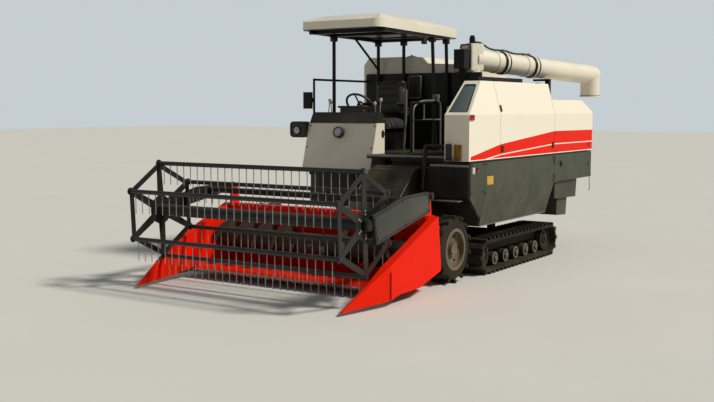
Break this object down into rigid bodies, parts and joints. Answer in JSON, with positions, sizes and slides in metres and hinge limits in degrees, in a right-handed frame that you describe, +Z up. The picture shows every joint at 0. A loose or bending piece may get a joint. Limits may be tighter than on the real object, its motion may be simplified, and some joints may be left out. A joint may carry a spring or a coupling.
{
  "type": "combine harvester",
  "caption": "Whole-feed rice combine with an open operator station under a canopy, a tined reel header, front tyres and rear rubber tracks.",
  "frame": {"origin": "middle of the ground under the machine", "axes": "+X forward, +Y the machine's left, +Z up"},
  "size_m": [6.2825, 2.585, 2.7322],
  "materials": {
    "cream_panel": "semi-gloss cream paint, dusty",
    "olive_panel": "semi-gloss dark olive grey paint",
    "red_panel": "gloss orange red paint",
    "black_frame": "satin black paint",
    "rubber_tyre": "worn rubber with dry mud",
    "rubber_belt": "matte rubber with dry mud",
    "rim_paint": "semi-gloss cream paint, dusty",
    "steel": "worn bare steel",
    "rod_chrome": "bright hard chrome",
    "engine_iron": "rough cast iron",
    "seat_vinyl": "black grained vinyl",
    "dash_plastic": "matte black plastic",
    "lamp_body": "black plastic with a clear lens"
  },
  "bodies": {
    "root": {"chassis_frame": "black_frame", "front_axle": "black_frame", "track_left": "rubber_belt", "track_right": "rubber_belt", "track_frame_left": "black_frame", "track_frame_right": "black_frame", "thresher_body": "black_frame", "upper_cover_front": "cream_panel", "upper_cover_rear": "cream_panel", "lower_cover_front": "olive_panel", "lower_cover_main": "olive_panel", "straw_outlet": "black_frame", "grain_tank": "cream_panel", "right_cover": "olive_panel", "engine": "engine_iron", "deck": "black_frame", "console": "cream_panel", "dash": "dash_plastic", "seat_base": "black_frame", "seat_cushion": "seat_vinyl", "seat_back": "seat_vinyl", "canopy_roof": "cream_panel", "canopy_posts": "black_frame", "handrails": "black_frame", "lamps": "lamp_body", "bulkhead": "black_frame", "auger_riser": "black_frame"},
    "side_door": {"side_door": "cream_panel"},
    "rear_door": {"rear_door": "olive_panel"},
    "header": {"feeder_house": "olive_panel", "header_frame": "red_panel", "divider_left": "red_panel", "divider_right": "red_panel", "cutterbar": "steel"},
    "header_auger": {"header_auger": "black_frame"},
    "reel_arms": {"reel_arms": "black_frame"},
    "reel": {"reel_spider": "black_frame"},
    "tine_bar_1": {"tine_bar_1": "steel"},
    "tine_bar_2": {"tine_bar_2": "steel"},
    "tine_bar_3": {"tine_bar_3": "steel"},
    "tine_bar_4": {"tine_bar_4": "steel"},
    "tine_bar_5": {"tine_bar_5": "steel"},
    "tine_bar_6": {"tine_bar_6": "steel"},
    "steer_left": {"knuckle_left": "steel"},
    "steer_right": {"knuckle_right": "steel"},
    "wheel_left": {"rim_left": "rim_paint", "tyre_left": "rubber_tyre"},
    "wheel_right": {"rim_right": "rim_paint", "tyre_right": "rubber_tyre"},
    "tie_rod": {"tie_rod": "steel"},
    "unload": {"unload_tube": "cream_panel"},
    "lift_barrel": {"lift_barrel": "black_frame"},
    "lift_rod": {"lift_rod": "rod_chrome"}
  },
  "joints": [
    {"name": "header_lift", "type": "hinge", "parent": "root", "child": "header", "pos_m": [0.89, 0, 0.95], "axis": [0, -1, 0], "range_deg": [0, 22]},
    {"name": "reel_lift", "type": "hinge", "parent": "header", "child": "reel_arms", "pos_m": [1.62, 0, 0.88], "axis": [0, -1, 0], "range_deg": [0, 20]},
    {"name": "reel_spin", "type": "hinge", "parent": "reel_arms", "child": "reel", "pos_m": [2.69, 0, 0.72], "axis": [0, 1, 0], "continuous": true},
    {"name": "tine_bar_1_turn", "type": "hinge", "parent": "reel", "child": "tine_bar_1", "pos_m": [3.0865, 0, 0.92203], "axis": [0, 1, 0], "continuous": true},
    {"name": "tine_bar_2_turn", "type": "hinge", "parent": "reel", "child": "tine_bar_2", "pos_m": [2.71329, 0, 1.16439], "axis": [0, 1, 0], "continuous": true},
    {"name": "tine_bar_3_turn", "type": "hinge", "parent": "reel", "child": "tine_bar_3", "pos_m": [2.31679, 0, 0.96236], "axis": [0, 1, 0], "continuous": true},
    {"name": "tine_bar_4_turn", "type": "hinge", "parent": "reel", "child": "tine_bar_4", "pos_m": [2.2935, 0, 0.51797], "axis": [0, 1, 0], "continuous": true},
    {"name": "tine_bar_5_turn", "type": "hinge", "parent": "reel", "child": "tine_bar_5", "pos_m": [2.66671, 0, 0.27561], "axis": [0, 1, 0], "continuous": true},
    {"name": "tine_bar_6_turn", "type": "hinge", "parent": "reel", "child": "tine_bar_6", "pos_m": [3.06321, 0, 0.47764], "axis": [0, 1, 0], "continuous": true},
    {"name": "header_auger_spin", "type": "hinge", "parent": "header", "child": "header_auger", "pos_m": [1.78, 0, 0.37], "axis": [0, 1, 0], "continuous": true},
    {"name": "steer_left_turn", "type": "hinge", "parent": "root", "child": "steer_left", "pos_m": [1.13, 1, 0.33], "axis": [0, 0, 1], "range_deg": [-22, 22]},
    {"name": "steer_right_turn", "type": "hinge", "parent": "root", "child": "steer_right", "pos_m": [1.13, -1, 0.33], "axis": [0, 0, 1], "range_deg": [-22, 22]},
    {"name": "wheel_left_spin", "type": "hinge", "parent": "steer_left", "child": "wheel_left", "pos_m": [1.13, 1.09, 0.33], "axis": [0, 1, 0], "continuous": true},
    {"name": "wheel_right_spin", "type": "hinge", "parent": "steer_right", "child": "wheel_right", "pos_m": [1.13, -1.09, 0.33], "axis": [0, 1, 0], "continuous": true},
    {"name": "tie_rod_swing", "type": "hinge", "parent": "root", "child": "tie_rod", "pos_m": [-0.8216, 0, 0.3], "axis": [0, 0, 1], "range_deg": [-1.95, 1.95]},
    {"name": "unload_swing", "type": "hinge", "parent": "root", "child": "unload", "pos_m": [-1.01, 0.275, 2.095], "axis": [0, 0, -1], "range_deg": [0, 90]},
    {"name": "side_door_lift", "type": "hinge", "parent": "root", "child": "side_door", "pos_m": [-0.46, 1.13, 1.96], "axis": [1, 0, 0], "range_deg": [0, 75]},
    {"name": "rear_door_swing", "type": "hinge", "parent": "root", "child": "rear_door", "pos_m": [-1.183, 1.25, 0.99], "axis": [0, 0, -1], "range_deg": [0, 100]},
    {"name": "lift_barrel_swing", "type": "hinge", "parent": "root", "child": "lift_barrel", "pos_m": [0.64, 0.722, 0.43], "axis": [0, -1, 0], "range_deg": [0, 14.1]},
    {"name": "lift_rod_slide", "type": "slide", "parent": "lift_barrel", "child": "lift_rod", "axis": [1, 0, 0], "range_m": [0, 0.187]}
  ],
  "couplings": [
    {"joint": "tine_bar_1_turn", "follows": "reel_spin", "ratio": -1},
    {"joint": "tine_bar_2_turn", "follows": "reel_spin", "ratio": -1},
    {"joint": "tine_bar_3_turn", "follows": "reel_spin", "ratio": -1},
    {"joint": "tine_bar_4_turn", "follows": "reel_spin", "ratio": -1},
    {"joint": "tine_bar_5_turn", "follows": "reel_spin", "ratio": -1},
    {"joint": "tine_bar_6_turn", "follows": "reel_spin", "ratio": -1},
    {"joint": "steer_right_turn", "follows": "steer_left_turn", "ratio": 1},
    {"joint": "tie_rod_swing", "follows": "steer_left_turn", "ratio": -0.08715},
    {"joint": "lift_barrel_swing", "follows": "header_lift", "ratio": 0.637},
    {"joint": "lift_rod_slide", "follows": "header_lift", "m_per_rad": 0.4839}
  ]
}
